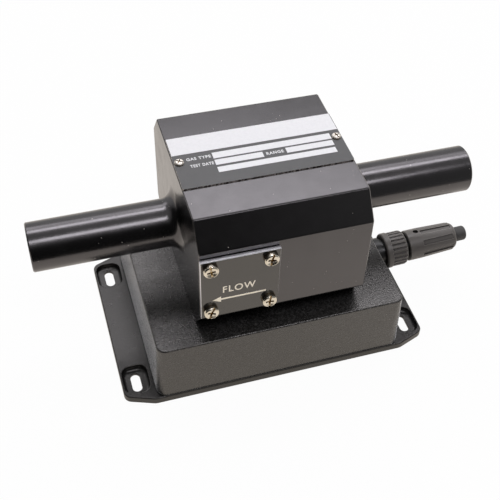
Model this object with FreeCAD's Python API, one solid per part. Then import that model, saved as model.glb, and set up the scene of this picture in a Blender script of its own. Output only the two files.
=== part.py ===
import FreeCAD, Part
import math
import os

# Blow-by flow meter, in millimetres.
# The origin is the middle of the base's underside, +X runs along the flow tube to the plug's end, +Z is up.

# Flow body: block and hose stubs
tube_od = 25.4
tube_wall = 1.7
flow_length = 238.5
tube_break = 0.6
root_fillet = 6.5
block_length = 88.3
block_height = 73.4
block_depth = 97.5
block_slope_depth = 10.2
block_slope_height = 13.4
block_break = 0.5

# Vortex strut
strut_x = 4.0
strut_foot_d = 8.0
strut_tip_d = 6.0
strut_tip_depth = 6.0
strut_face = 5.2
strut_tail = 2.6
strut_chord = 5.0
strut_end_gap = 0.3

# Transducers: the front one on a seat, the rear one pushed in through the front throat
throat_d = 13.0
pocket_d = 24.0
seat_depth = 6.0
head_recess = 0.6
head_clearance = 0.2
flange_clearance = 0.15
flange_thickness = 4.0
stem_d = 12.0
stem_length = 1.5
retainer_thickness = 2.5
retainer_bore = 14.0
cartridge_length = 9.0
cartridge_step = 2.0

# Square rings
ring_depth = 1.3
ring_width = 1.6
ring_clearance = 0.1
transducer_ring_d = 18.0

# Port cover
cover_size = 40.0
cover_thickness = 2.0
cover_bevel = 0.25
cover_screw_inset = 5.0
gasket_thickness = 0.5
gasket_inset = 0.4

# Nameplate
plate_margin = 0.35
plate_depth = 38.4
plate_thickness = 0.7
plate_corner = 0.8
plate_y = 1.2
plate_screw_inset = 2.8

# Passages for the leads
passage_d = 5.2
passage_ring_d = 8.4
passage_room = 3.0
passage_rim = 0.6

# Screws: head diameter, head height, shank diameter, length under the head
cover_screw = (7.6, 2.6, 4.0, 12.0)
plate_screw = (4.8, 1.3, 2.4, 5.0)
body_screw = (9.0, 3.6, 5.0, 15.0)
board_screw = (5.5, 2.0, 3.0, 7.0)
lid_screw = (7.6, 2.4, 4.0, 14.0)
screw_fit = 0.05
screw_clearance = 0.3
screw_tip = 0.4
hole_spare = 1.5
cover_screw_turns = (12.0, -8.0, 20.0, 4.0)
plate_screw_turns = (30.0, 75.0)
body_screw_end_inset = 8.15
body_screw_side_inset = 21.55
washer_d = 10.0
washer_thickness = 1.0

# Pan heads: crown as a share of the radius, rim and dish of the crown as shares of the height
round_head = (0.5, 0.4, 0.0)
tall_head = (0.8, 0.8, 0.2)

# Drive recess: shares of the head's diameter and of its height
cross_length = 0.56
cross_depth = 0.6
drive_slot_depth = 0.36
drive_width = 0.14

# Box
box_foot_length = 138.4
box_foot_depth = 109.4
box_end_draft = 1.6
box_side_draft = 0.6
box_top_corner = 4.5
box_foot_corner = 6.0
box_height = 37.3
box_edge = 0.9
box_foot_rebate = (0.6, 0.9)
box_wall = 2.8
box_ceiling = 3.2
inner_corner = 1.8
corner_post_d = 10.4
corner_post_inset = 8.0

# Flanged lid
lid_end_ledge = 1.4
lid_side_ledge = 0.2
lid_thickness = 4.6
lid_corner = 8.0
lid_edge = 0.7
ear_reach = 15.6
ear_taper = 5.75
ear_corner = 4.5
slot_end_inset = 8.0
slot_side_inset = 9.9
slot_width = 5.2
slot_length = 12.0
pocket_width = 14.0
pocket_length = 18.6
pocket_depth = 3.2
pocket_corner = 5.0
pocket_fillet = 2.0
lip_height = 2.4
lip_width = 2.0
lip_clearance = 0.3
lid_groove_width = 1.4
lid_groove_depth = 1.3

# Circuit board
board_left_room = 11.4
board_right_room = 21.4
board_side_room = 11.9
board_thickness = 1.6
board_corner = 3.0
board_hole_inset = 5.5
board_post_d = 8.0
board_post_height = 3.0
spacer_length = 9.0
spacer_flats = 6.0
spacer_stud = 4.0
terminal_size = (10.0, 18.0, 10.0)
terminal_edge = 2.0
terminal_pitch = 4.2
terminal_entry_d = 2.6
terminal_entry_depth = 4.0
chip_sizes = ((14.0, 14.0, 2.0), (10.0, 6.0, 1.8), (10.0, 6.0, 1.8))
chip_places = ((-15.0, 0.0), (10.0, 15.0), (10.0, -15.0))
capacitor_d = 8.0
capacitor_height = 9.0
capacitor_places = ((25.0, 25.0), (25.0, -25.0))

# Leads
lead_d = 1.8
lead_bend = 1.5
wire_d = 1.2
wire_straight = 3.0
wire_bend = 1.5

# Panel receptacle, square on the box's drafted right end
plug_height = 17.1
boss_wall = 3.4
boss_depth = 4.6
panel_seal_thickness = 0.6
panel_seal_width = 2.4
receptacle_thread_d = 15.2
receptacle_wall = 1.3
receptacle_step = 1.1
receptacle_collar = 7.4
receptacle_barrel = 7.0
receptacle_tail = 12.0
panel_clearance = 0.15
panel_nut_wall = 1.9
panel_nut_thickness = 4.0
insert_fit = 0.05
insert_length = 15.0
insert_setback = 1.0
contact_count = 4
contact_inset = 2.1
contact_d = 1.0
contact_fit = 0.02
contact_tail = 4.0
contact_reach = 7.0

# Cable plug
nut_gap = 2.2
nut_length = 13.3
nut_collar = 3.6
nut_wall = 2.95
nut_rib_step = 0.4
nut_end_step = 1.1
nut_end = 2.0
nut_end_rise = 0.14
nut_rim = 1.2
nut_lip = 3.8
nut_ribs = 24
nut_groove_d = 1.5
nut_groove_depth = 0.7
nut_running_fit = 0.06
nut_play = 0.3
nose_running_fit = 0.08
nose_setback = 1.5
nose_wall = 1.4
shoulder_clearance = 0.3
shoulder_thickness = 2.4
shoulder_step = 0.8
tail_length = 10.0
socket_d = 1.9
socket_bore_fit = 0.06
socket_bore_depth = 6.5
shell_gap = 1.5
shell_length = 30.6
shell_wall = 2.6
shell_taper = 0.75
shell_nose = 2.4
shell_nose_step = 0.6
shell_end_step = 1.2
shell_smooth = 8.6
shell_end_round = 1.7
shell_end_rise = 0.12
shell_edge = 0.6
shell_cavity_step = 1.1
shell_end_wall = 5.2
flute_count = 8
flute_width = 3.0
flute_depth = 0.8
notch_d = 3.4
notch_depth = 1.5
notch_angle = -10.0
stopper_fit = 0.05
stopper_step = 0.75
stopper_reach = 7.9
stopper_round = 1.4
stopper_head_clearance = 0.3
stopper_head = 6.0

# Levels and places that follow from the sizes
box_foot_z = lid_thickness
box_top_z = box_foot_z + box_height
ceiling_z = box_top_z - box_ceiling
axis_z = box_top_z + block_height / 2
block_top_z = box_top_z + block_height
post_face_z = ceiling_z - board_post_height
board_top_z = post_face_z - spacer_length
board_under_z = board_top_z - board_thickness
bore_d = tube_od - 2 * tube_wall
block_flat = block_depth - 2 * block_slope_depth
block_side = block_height - 2 * block_slope_height
port_x = (cover_size - block_length) / 2
seat_y = bore_d / 2 + seat_depth
stem_end_y = seat_y + flange_thickness + stem_length
front_passage_y = stem_end_y + passage_room
cartridge_end_y = bore_d / 2 + head_recess + cartridge_length
cartridge_ring_y = cartridge_end_y - (cartridge_length + ring_width) / 2
rear_passage_y = cartridge_end_y + passage_room
cover_seat_y = block_depth / 2 + gasket_thickness
cover_face_y = cover_seat_y + cover_thickness
plate_length = block_length - 2 * plate_margin
body_screw_x = block_length / 2 - body_screw_end_inset
body_screw_y = block_flat / 2 - body_screw_side_inset
box_top_length = box_foot_length - 2 * box_end_draft
box_top_depth = box_foot_depth - 2 * box_side_draft
lid_length = box_foot_length + 2 * lid_end_ledge
lid_depth = box_foot_depth + 2 * lid_side_ledge
ear_length = lid_length + 2 * ear_reach
ear_depth = lid_depth - 2 * ear_taper
slot_x = ear_length / 2 - slot_end_inset
slot_y = ear_depth / 2 - slot_side_inset
board_length = box_foot_length - 2 * box_wall - board_left_room - board_right_room
board_depth = box_foot_depth - 2 * box_wall - 2 * board_side_room
board_x = (board_left_room - board_right_room) / 2
terminal_x = board_x + board_length / 2 - terminal_edge
terminal_entry_z = board_under_z - terminal_size[2] / 2
corner_post_x = box_foot_length / 2 - corner_post_inset
corner_post_y = box_foot_depth / 2 - corner_post_inset
plug_z = box_foot_z + plug_height
wall_x = box_foot_length / 2 - box_end_draft * plug_height / box_height
wall_tilt = math.degrees(math.atan(box_end_draft / box_height))
boss_back_x = wall_x - boss_depth
collar_x = wall_x + panel_seal_thickness
collar_end_x = collar_x + receptacle_collar
barrel_end_x = collar_end_x + receptacle_barrel
insert_back_x = collar_x - receptacle_tail + insert_setback
insert_face_x = insert_back_x + insert_length
contact_back_x = insert_back_x - contact_tail
contact_tip_x = insert_face_x + contact_reach
nut_x = collar_end_x + nut_gap
nut_end_x = nut_x + nut_length
nut_lip_x = nut_end_x - nut_lip
nose_x = insert_face_x + nose_setback
shoulder_end_x = nut_lip_x - nut_play
shell_x = nut_end_x + shell_gap
shell_end_x = shell_x + shell_length
shell_mouth_x = shell_end_x - shell_end_wall
receptacle_bore = receptacle_thread_d - 2 * receptacle_wall
plug_bore = receptacle_bore - 2 * nose_wall
contact_circle = plug_bore - 2 * contact_inset
neck_d = receptacle_thread_d - 2 * (shoulder_clearance + shoulder_step)
shell_d = neck_d + 2 * shell_wall
shell_end_d = shell_d - 2 * shell_taper
shell_cavity_d = neck_d - 2 * shell_cavity_step
stopper_head_d = shell_cavity_d - 2 * stopper_head_clearance
stopper_d = stopper_head_d - 2 * stopper_step

X = FreeCAD.Vector(1, 0, 0)
Y = FreeCAD.Vector(0, 1, 0)
Z = FreeCAD.Vector(0, 0, 1)
CORNERS = ((1, 1), (-1, 1), (-1, -1), (1, -1))
QUARTER_RISE = math.tan(math.pi / 8) / 2
SAME_POINT = 1e-6
WALL_POINT = FreeCAD.Vector(wall_x, 0, plug_z)
ON_WALL = FreeCAD.Placement(FreeCAD.Vector(), FreeCAD.Rotation(Y, -wall_tilt), WALL_POINT)


def point(x, y, z):
    return FreeCAD.Vector(x, y, z)


def joined(shapes):
    """One solid from touching or crossing shapes, with the seams removed."""
    return shapes[0].fuse(shapes[1:]).removeSplitter()


def group(shapes):
    return Part.makeCompound(shapes)


def rounded_wire(points, radii, closed):
    """Wire through the points, with each corner rounded by a tangent arc."""
    count = len(points)
    edges = []
    last = None
    first = None
    for i in range(count):
        here = points[i]
        if not closed and i in (0, count - 1):
            arc_start = here
            arc_end = here
        else:
            back = (points[i - 1] - here).normalize()
            ahead = (points[(i + 1) % count] - here).normalize()
            half = back.getAngle(ahead) / 2
            run = radii[i] / math.tan(half)
            middle = (back + ahead).normalize()
            arc_start = here + back * run
            arc_end = here + ahead * run
            arc_mid = here + middle * (radii[i] / math.sin(half) - radii[i])
        if last is not None and last.distanceToPoint(arc_start) > SAME_POINT:
            edges.append(Part.makeLine(last, arc_start))
        if arc_start.distanceToPoint(arc_end) > SAME_POINT:
            edges.append(Part.Arc(arc_start, arc_mid, arc_end).toShape())
        if first is None:
            first = arc_start
        last = arc_end
    if closed and last.distanceToPoint(first) > SAME_POINT:
        edges.append(Part.makeLine(last, first))
    return Part.Wire(edges)


def rectangle(length, depth, radius, z, x=0.0, y=0.0):
    """Rounded rectangle lying flat at height z."""
    corners = [point(x + sx * length / 2, y + sy * depth / 2, z) for sx, sy in CORNERS]
    return rounded_wire(corners, [radius] * len(corners), True)


def slab(wire, height, cut_wires=()):
    """Flat outline raised by height, less other outlines on the same level."""
    solid = Part.Face(wire).extrude(Z * height)
    for hole in cut_wires:
        solid = solid.cut(Part.Face(hole).extrude(Z * height))
    return solid


def rod(diameter, start, direction, length):
    return Part.makeCylinder(diameter / 2, length, start, direction)


def ring(outer, inner, start, direction, length):
    return rod(outer, start, direction, length).cut(rod(inner, start, direction, length))


def turned(steps, start, direction):
    """Solid of revolution. Each step is a (station, radius) line end, or a (middle, end) pair for an arc."""
    edges = []
    last = point(steps[0][0], steps[0][1], 0)
    for step in steps[1:]:
        if isinstance(step[0], tuple):
            end = point(step[1][0], step[1][1], 0)
            edges.append(Part.Arc(last, point(step[0][0], step[0][1], 0), end).toShape())
        else:
            end = point(step[0], step[1], 0)
            edges.append(Part.makeLine(last, end))
        last = end
    edges.append(Part.makeLine(last, point(steps[0][0], steps[0][1], 0)))
    solid = Part.Face(Part.Wire(edges)).revolve(point(0, 0, 0), X, 360)
    solid.Placement = FreeCAD.Placement(start, FreeCAD.Rotation(X, direction))
    return solid


def arc_step(start, end, rise):
    """Arc that stands off its chord to the left by rise, a share of the chord's length."""
    along = end[0] - start[0]
    across = end[1] - start[1]
    middle = ((start[0] + end[0]) / 2 - rise * across, (start[1] + end[1]) / 2 + rise * along)
    return (middle, end)


def pan_screw(sizes, profile, seat, direction):
    """Screw with a rounded pan head, seated at a point, its shank along the direction."""
    head_d, head_h, shank_d, length = sizes
    flat, side = profile[:2]
    head = head_d / 2
    shank = shank_d / 2
    crown = (-head_h, head * flat)
    rim = (-head_h * side, head)
    fall = math.atan2(rim[0] - crown[0], rim[1] - crown[1])
    steps = [(-head_h, 0), crown, arc_step(crown, rim, math.tan(fall / 2) / 2), (0, head), (0, shank)]
    steps += [(length - screw_tip, shank), (length, shank - screw_tip), (length, 0)]
    return turned(steps, seat, direction)


def dish(radius, depth, rim_x):
    """Ball that sinks a shallow dish of this radius and depth into a face at rim_x."""
    ball = (radius * radius + depth * depth) / (2 * depth)
    return Part.makeSphere(ball, point(rim_x + depth - ball, 0, 0))


def driven_screw(sizes, profile, seat, direction, turn):
    """Pan screw with a cross recess and a slot across its head, turned about its axis."""
    head_d, head_h = sizes[:2]
    flat, side, hollow = profile
    width = head_d * drive_width
    screw = pan_screw(sizes, profile, point(0, 0, 0), X)
    if hollow:
        screw = screw.cut(dish(head_d / 2 * flat, head_h * hollow, -head_h))
    cross = (head_d * cross_length, head_h * cross_depth)
    slot = (2 * head_d, head_h * drive_slot_depth)
    for (length, depth), angle in ((cross, 0), (cross, 90), (slot, 0)):
        bar = Part.makeBox(depth + head_h, width, length, point(-2 * head_h, -width / 2, -length / 2))
        bar.rotate(point(0, 0, 0), X, turn + angle)
        screw = screw.cut(bar)
    screw.Placement = FreeCAD.Placement(seat, FreeCAD.Rotation(X, direction))
    return screw


def on_wall(shape):
    """Connector piece drawn level, tipped to stand square on the box's end wall."""
    shape.Placement = ON_WALL.multiply(shape.Placement)
    return shape


def tapped_hole(sizes, mouth, direction):
    """Hole for a screw's shank, a little deeper than the screw reaches."""
    return rod(sizes[2] + 2 * screw_fit, mouth, direction, sizes[3] + hole_spare)


def hexagon(flats, start, length, direction):
    """Hexagonal bar along +X or +Z."""
    corners = [FreeCAD.Rotation(Z, 60 * i).multVec(X) * (flats / math.sqrt(3)) for i in range(6)]
    bar = Part.Face(Part.makePolygon(corners + corners[:1])).extrude(Z * length)
    bar.Placement = FreeCAD.Placement(start, FreeCAD.Rotation(Z, direction))
    return bar


def cover_screw_places():
    reach = cover_size / 2 - cover_screw_inset
    return [(port_x + sx * reach, axis_z + sz * reach) for sx, sz in CORNERS]


def plate_screw_places():
    reach = plate_length / 2 - plate_screw_inset
    return [(-reach, plate_y), (reach, plate_y)]


def passage_places():
    return [(port_x, -front_passage_y), (port_x, rear_passage_y)]


def body_screw_places():
    return [(sx * body_screw_x, sy * body_screw_y) for sx, sy in CORNERS]


def board_screw_places():
    length = board_length / 2 - board_hole_inset
    depth = board_depth / 2 - board_hole_inset
    return [(board_x + sx * length, sy * depth) for sx, sy in CORNERS]


def corner_posts():
    return [(sx * corner_post_x, sy * corner_post_y) for sx, sy in CORNERS]


def contact_places():
    """Centres of the contacts, about the connector's axis."""
    places = []
    for i in range(contact_count):
        turn = 2 * math.pi * (i + 0.5) / contact_count
        places.append((contact_circle / 2 * math.cos(turn), plug_z + contact_circle / 2 * math.sin(turn)))
    return places


# Flow body

def block():
    """Eight-sided block, long along the flow, with broken edges."""
    half = block_height / 2
    side = block_side / 2
    top = [point(0, block_flat / 2, half), point(0, block_depth / 2, side), point(0, block_depth / 2, -side)]
    under = [point(0, block_flat / 2, -half), point(0, -block_flat / 2, -half)]
    front = [point(0, -block_depth / 2, -side), point(0, -block_depth / 2, side)]
    corners = top + under + front + [point(0, -block_flat / 2, half)]
    solid = Part.Face(Part.makePolygon(corners + corners[:1])).extrude(X * block_length)
    solid.translate(point(-block_length / 2, 0, axis_z))
    return solid.makeChamfer(block_break, solid.Edges)


def stub():
    """Hose stub that grows out of the block's end in a round flare."""
    radius = tube_od / 2
    face = block_length / 2
    end = flow_length / 2
    inside = face - root_fillet
    flare = (face, radius + root_fillet)
    flare_end = (face + root_fillet, radius)
    steps = [(inside, 0), (inside, radius + root_fillet), flare, arc_step(flare, flare_end, -QUARTER_RISE)]
    steps += [(end - tube_break, radius), (end, radius - tube_break), (end, 0)]
    return turned(steps, point(0, 0, axis_z), X)


def bore():
    radius = bore_d / 2
    end = flow_length / 2
    mouth = radius + tube_break
    steps = [(-end, 0), (-end, mouth), (tube_break - end, radius)]
    steps += [(end - tube_break, radius), (end, mouth), (end, 0)]
    return turned(steps, point(0, 0, axis_z), X)


def front_port():
    """Throat from the bore, seat with a ring groove, pocket open to the block's front, cover screw holes."""
    throat = throat_d / 2
    pocket = pocket_d / 2
    face = block_depth / 2
    steps = [(0, 0), (0, throat), (seat_y, throat), (seat_y, pocket), (face, pocket), (face, 0)]
    groove = ring_groove(transducer_ring_d, point(port_x, -seat_y, axis_z), Y)
    holes = [tapped_hole(cover_screw, point(x, -face, z), Y) for x, z in cover_screw_places()]
    return [turned(steps, point(port_x, 0, axis_z), -Y), groove] + holes


def rear_port():
    """Blind hole in line with the front throat: a shoulder stops the cartridge, its lead has room behind."""
    throat = throat_d / 2
    room = throat - cartridge_step
    end = rear_passage_y + passage_d / 2 + passage_rim
    steps = [(0, 0), (0, throat), (cartridge_end_y, throat), (cartridge_end_y, room), (end, room), (end, 0)]
    return turned(steps, point(port_x, 0, axis_z), Y)


def ring_groove(diameter, start, direction):
    return ring(diameter + ring_width, diameter - ring_width, start, direction, ring_depth)


def passages():
    """Holes for the leads, up to the ports, each with a ring groove in the block's underside."""
    cuts = []
    for x, y in passage_places():
        foot = point(x, y, box_top_z)
        cuts.append(rod(passage_d, foot, Z, block_height / 2))
        cuts.append(ring_groove(passage_ring_d, foot, Z))
    return cuts


def strut_cuts():
    foot = rod(strut_foot_d + 2 * screw_fit, point(strut_x, 0, box_top_z), Z, block_height / 2)
    tip = rod(strut_tip_d + 2 * screw_fit, point(strut_x, 0, axis_z), Z, bore_d / 2 + strut_tip_depth)
    return [foot, tip]


def flow_body():
    right = stub()
    left = right.mirror(point(0, 0, 0), X)
    solid = joined([block(), right, left])
    cuts = [bore(), rear_port()] + front_port() + passages() + strut_cuts()
    cuts += [tapped_hole(body_screw, point(x, y, box_top_z), Z) for x, y in body_screw_places()]
    cuts += [tapped_hole(plate_screw, point(x, y, block_top_z), -Z) for x, y in plate_screw_places()]
    return solid.cut(cuts).removeSplitter()


def vortex_strut():
    """Round foot pressed in from below, blunt bar across the bore, round tip in the upper wall."""
    hole = strut_foot_d / 2
    bar_end = math.sqrt((bore_d / 2) ** 2 - hole ** 2) - strut_end_gap
    foot_height = block_height / 2 - bore_d / 2
    foot = rod(strut_foot_d, point(strut_x, 0, box_top_z), Z, foot_height)
    chord = strut_chord / 2
    face = [point(chord, -strut_face / 2, 0), point(chord, strut_face / 2, 0)]
    tail = [point(-chord, strut_tail / 2, 0), point(-chord, -strut_tail / 2, 0)]
    corners = face + tail
    bar = Part.Face(Part.makePolygon(corners + corners[:1])).extrude(Z * (bore_d / 2 + bar_end))
    bar.translate(point(strut_x, 0, axis_z - bore_d / 2))
    tip_length = bore_d / 2 + strut_tip_depth - strut_end_gap - bar_end
    tip = rod(strut_tip_d, point(strut_x, 0, axis_z + bar_end), Z, tip_length)
    return joined([foot, bar, tip])


def transmit_transducer():
    """Front transducer: sensing head in the throat, flange on the seat, stem for the lead."""
    head = throat_d / 2 - head_clearance
    flange = pocket_d / 2 - flange_clearance
    flange_end = seat_y + flange_thickness
    face = bore_d / 2 + head_recess
    steps = [(face, 0), (face, head), (seat_y, head), (seat_y, flange), (flange_end, flange)]
    steps += [(flange_end, stem_d / 2), (stem_end_y, stem_d / 2), (stem_end_y, 0)]
    return turned(steps, point(port_x, 0, axis_z), -Y)


def receive_transducer():
    """Rear transducer: plain cartridge against its shoulder, with a ring groove round its middle."""
    face = bore_d / 2 + head_recess
    outside = throat_d / 2 - head_clearance
    floor = throat_d / 2 - ring_depth
    start = cartridge_ring_y
    end = cartridge_ring_y + ring_width
    steps = [(face, 0), (face, outside), (start, outside), (start, floor), (end, floor), (end, outside)]
    steps += [(cartridge_end_y, outside), (cartridge_end_y, 0)]
    return turned(steps, point(port_x, 0, axis_z), Y)


def square_ring(diameter, start, direction):
    width = ring_width - 2 * ring_clearance
    return ring(diameter + width, diameter - width, start, direction, ring_depth)


def transducer_seals():
    """Ring under the front flange and ring round the rear cartridge."""
    front = square_ring(transducer_ring_d, point(port_x, -seat_y, axis_z), Y)
    outer = throat_d - 2 * ring_clearance
    inner = throat_d - 2 * ring_depth + 2 * ring_clearance
    rear = ring(outer, inner, point(port_x, cartridge_ring_y, axis_z), Y, ring_width)
    return group([front, rear])


def transducer_retainer():
    start = point(port_x, -seat_y - flange_thickness, axis_z)
    return ring(pocket_d - 2 * screw_fit, retainer_bore, start, -Y, retainer_thickness)


def passage_seals():
    return group([square_ring(passage_ring_d, point(x, y, box_top_z), Z) for x, y in passage_places()])


# Port cover

def cover_sheet(size, thickness, back_y):
    """Square sheet on the block's front, drilled for the cover screws."""
    corner = point(port_x - size / 2, -back_y - thickness, axis_z - size / 2)
    sheet = Part.makeBox(size, thickness, size, corner)
    hole_d = cover_screw[2] + 2 * screw_clearance
    return sheet.cut([rod(hole_d, point(x, -back_y, z), -Y, thickness) for x, z in cover_screw_places()])


def cover_plate():
    """Square plate with a fine bevel round its face."""
    plate = cover_sheet(cover_size, cover_thickness, cover_seat_y)
    face = [edge for edge in plate.Edges if edge.BoundBox.YMax < cover_bevel - cover_face_y]
    rim = [edge for edge in face if edge.Length > cover_size / 2]
    return plate.makeChamfer(cover_bevel, rim)


def cover_gasket():
    sheet = cover_sheet(cover_size - 2 * gasket_inset, gasket_thickness, block_depth / 2)
    return sheet.cut(rod(pocket_d, point(port_x, -block_depth / 2, axis_z), -Y, gasket_thickness))


def cover_screws():
    screws = []
    for (x, z), turn in zip(cover_screw_places(), cover_screw_turns):
        screws.append(driven_screw(cover_screw, tall_head, point(x, -cover_face_y, z), Y, turn))
    return group(screws)


# Nameplate

def nameplate():
    hole_d = plate_screw[2] + 2 * screw_clearance
    sheet = slab(rectangle(plate_length, plate_depth, plate_corner, block_top_z, 0, plate_y), plate_thickness)
    places = [point(x, y, block_top_z) for x, y in plate_screw_places()]
    return sheet.cut([rod(hole_d, place, Z, plate_thickness) for place in places])


def nameplate_screws():
    seat_z = block_top_z + plate_thickness
    screws = []
    for (x, y), turn in zip(plate_screw_places(), plate_screw_turns):
        screws.append(driven_screw(plate_screw, round_head, point(x, y, seat_z), -Z, turn))
    return group(screws)


# Box

def box_outline(z, inset, corner=None):
    """Outline of the drafted box at height z, drawn in by inset."""
    share = (z - box_foot_z) / box_height
    length = box_foot_length + share * (box_top_length - box_foot_length)
    depth = box_foot_depth + share * (box_top_depth - box_foot_depth)
    radius = box_foot_corner + share * (box_top_corner - box_foot_corner)
    return rectangle(length - 2 * inset, depth - 2 * inset, corner or radius, z)


def box_shell():
    """Drafted shell, open below, with a small round along its top edge."""
    outside = Part.makeLoft([box_outline(box_foot_z, 0), box_outline(box_top_z, 0)], True, True)
    rim = [edge for edge in outside.Edges if edge.BoundBox.ZMin > box_top_z - box_edge]
    rounded = outside.makeFillet(box_edge, rim)
    floor = box_outline(box_foot_z, box_wall, inner_corner)
    roof = box_outline(ceiling_z, box_wall, inner_corner)
    inside = Part.makeLoft([floor, roof], True, True)
    return rounded, rounded.cut(inside)


def foot_rebate():
    """Shadow line round the box's foot, above the lid."""
    depth, height = box_foot_rebate
    return slab(box_outline(box_foot_z, -depth), height, [box_outline(box_foot_z, depth)])


def box_housing():
    outside, shell = box_shell()
    axis = point(boss_back_x, 0, plug_z)
    additions = [on_wall(rod(receptacle_thread_d + 2 * boss_wall, axis, X, boss_depth - box_wall / 2))]
    for x, y in corner_posts():
        additions.append(rod(corner_post_d, point(x, y, box_foot_z), Z, box_height).common(outside))
    for x, y in board_screw_places():
        additions.append(rod(board_post_d, point(x, y, post_face_z), Z, board_post_height + box_ceiling / 2))
    solid = joined([shell] + additions)
    cuts = [on_wall(rod(receptacle_thread_d + 2 * panel_clearance, axis, X, boss_depth)), foot_rebate()]
    for x, y in corner_posts():
        cuts.append(rod(lid_screw[2] + 2 * screw_fit, point(x, y, box_foot_z), Z, lid_screw[3]))
    stud_depth = spacer_stud + screw_clearance
    for x, y in board_screw_places():
        cuts.append(rod(board_screw[2] + 2 * screw_fit, point(x, y, post_face_z), Z, stud_depth))
    for x, y in body_screw_places():
        cuts.append(rod(body_screw[2] + 2 * screw_clearance, point(x, y, ceiling_z), Z, box_ceiling))
    for x, y in passage_places():
        cuts.append(rod(passage_d, point(x, y, ceiling_z), Z, box_ceiling))
    return solid.cut(cuts).removeSplitter()


def body_washers():
    hole_d = body_screw[2] + 2 * screw_clearance
    places = [point(x, y, ceiling_z) for x, y in body_screw_places()]
    return group([ring(washer_d, hole_d, place, -Z, washer_thickness) for place in places])


def body_screws():
    seat_z = ceiling_z - washer_thickness
    return group([pan_screw(body_screw, round_head, point(x, y, seat_z), Z) for x, y in body_screw_places()])


# Flanged lid

def lid_plate():
    """Lid with an ear along each end, tapered towards the ear's tip."""
    tip = (ear_length / 2, ear_depth / 2, ear_corner)
    root = (lid_length / 2, lid_depth / 2, lid_corner)
    corners = []
    radii = []
    for i, (sx, sy) in enumerate(CORNERS):
        order = (tip, root) if i % 2 == 0 else (root, tip)
        for x, y, radius in order:
            corners.append(point(sx * x, sy * y, 0))
            radii.append(radius)
    plate = slab(rounded_wire(corners, radii, True), lid_thickness)
    rim = [edge for edge in plate.Edges if edge.BoundBox.ZLength < lid_thickness / 2]
    return plate.makeFillet(lid_edge, rim)


def slot_cuts():
    """Through slots in filleted pockets for the bolt heads, long across the ears."""
    cuts = []
    floor_z = lid_thickness - pocket_depth
    for sx, sy in CORNERS:
        x = sx * slot_x
        y = sy * slot_y
        cuts.append(slab(rectangle(slot_width, slot_length, slot_width / 2, 0, x, y), lid_thickness))
        pocket = slab(rectangle(pocket_width, pocket_length, pocket_corner, floor_z, x, y), pocket_depth)
        floor = [edge for edge in pocket.Edges if edge.BoundBox.ZMax < floor_z + SAME_POINT]
        cuts.append(pocket.makeFillet(pocket_fillet, floor))
    return cuts


def lip():
    """Locating lip that stands inside the box's walls, broken round the corner posts."""
    inset = box_wall + lip_clearance
    top_z = box_foot_z + lip_height
    inner = box_outline(top_z, inset + lip_width, inner_corner)
    band = slab(box_outline(top_z, inset, inner_corner), -lip_height, [inner])
    room = corner_post_d + 2 * lip_clearance
    return band.cut([rod(room, point(x, y, box_foot_z), Z, lip_height) for x, y in corner_posts()])


def gasket_ring(width):
    """Ring sunk into the lid under the middle of the box's wall."""
    inner = box_outline(box_foot_z, (box_wall + width) / 2)
    return slab(box_outline(box_foot_z, (box_wall - width) / 2), -lid_groove_depth, [inner])


def lid_screw_hole():
    """Countersunk clearance hole from the lid's underside."""
    head_d, head_h, shank_d, length = lid_screw
    neck = shank_d / 2 + screw_clearance
    slope = (head_d - shank_d) / 2 / (head_h - screw_clearance)
    sink = head_d / 2 + slope * screw_clearance
    return [(0, 0), (0, sink), ((sink - neck) / slope, neck), (lid_thickness, neck), (lid_thickness, 0)]


def base_lid():
    cuts = slot_cuts() + [gasket_ring(lid_groove_width)]
    for x, y in corner_posts():
        cuts.append(turned(lid_screw_hole(), point(x, y, 0), Z))
    return joined([lid_plate()] + lip().Solids).cut(cuts)


def lid_gasket():
    return gasket_ring(lid_groove_width - 2 * ring_clearance)


def lid_screws():
    """Countersunk screws that lie just inside the lid's underside."""
    head_d, head_h, shank_d, length = lid_screw
    shank = shank_d / 2
    steps = [(screw_clearance, 0), (screw_clearance, head_d / 2), (head_h, shank)]
    steps += [(length - screw_tip, shank), (length, shank - screw_tip), (length, 0)]
    return group([turned(steps, point(x, y, 0), Z) for x, y in corner_posts()])


# Circuit board

def circuit_board():
    hole_d = board_screw[2] + 2 * screw_clearance
    sheet = slab(rectangle(board_length, board_depth, board_corner, board_under_z, board_x), board_thickness)
    holes = [rod(hole_d, point(x, y, board_under_z), Z, board_thickness) for x, y in board_screw_places()]
    return sheet.cut(holes)


def board_spacers():
    """Hexagonal spacers with a stud above and a tapped hole below."""
    spacers = []
    for x, y in board_screw_places():
        bar = hexagon(spacer_flats, point(x, y, board_top_z), spacer_length, Z)
        stud = rod(board_screw[2], point(x, y, post_face_z), Z, spacer_stud)
        hole = rod(board_screw[2] + 2 * screw_fit, point(x, y, board_top_z), Z, board_screw[3])
        spacers.append(joined([bar, stud]).cut(hole))
    return group(spacers)


def board_screws():
    seats = [point(x, y, board_under_z) for x, y in board_screw_places()]
    return group([pan_screw(board_screw, round_head, seat, Z) for seat in seats])


def terminal_ways_y():
    return [terminal_pitch * (i - (contact_count - 1) / 2) for i in range(contact_count)]


def terminal_block():
    """Block under the board with a wire entry for each way."""
    length, depth, height = terminal_size
    corner = point(terminal_x - length, -depth / 2, board_under_z - height)
    body = Part.makeBox(length, depth, height, corner)
    mouths = [point(terminal_x, y, terminal_entry_z) for y in terminal_ways_y()]
    return body.cut([rod(terminal_entry_d, mouth, -X, terminal_entry_depth) for mouth in mouths])


def signal_chips():
    chips = []
    for (length, depth, height), (x, y) in zip(chip_sizes, chip_places):
        corner = point(board_x + x - length / 2, y - depth / 2, board_under_z - height)
        chips.append(Part.makeBox(length, depth, height, corner))
    return group(chips)


def capacitors():
    feet = [point(board_x + x, y, board_under_z) for x, y in capacitor_places]
    return group([rod(capacitor_d, foot, -Z, capacitor_height) for foot in feet])


# Leads

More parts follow.
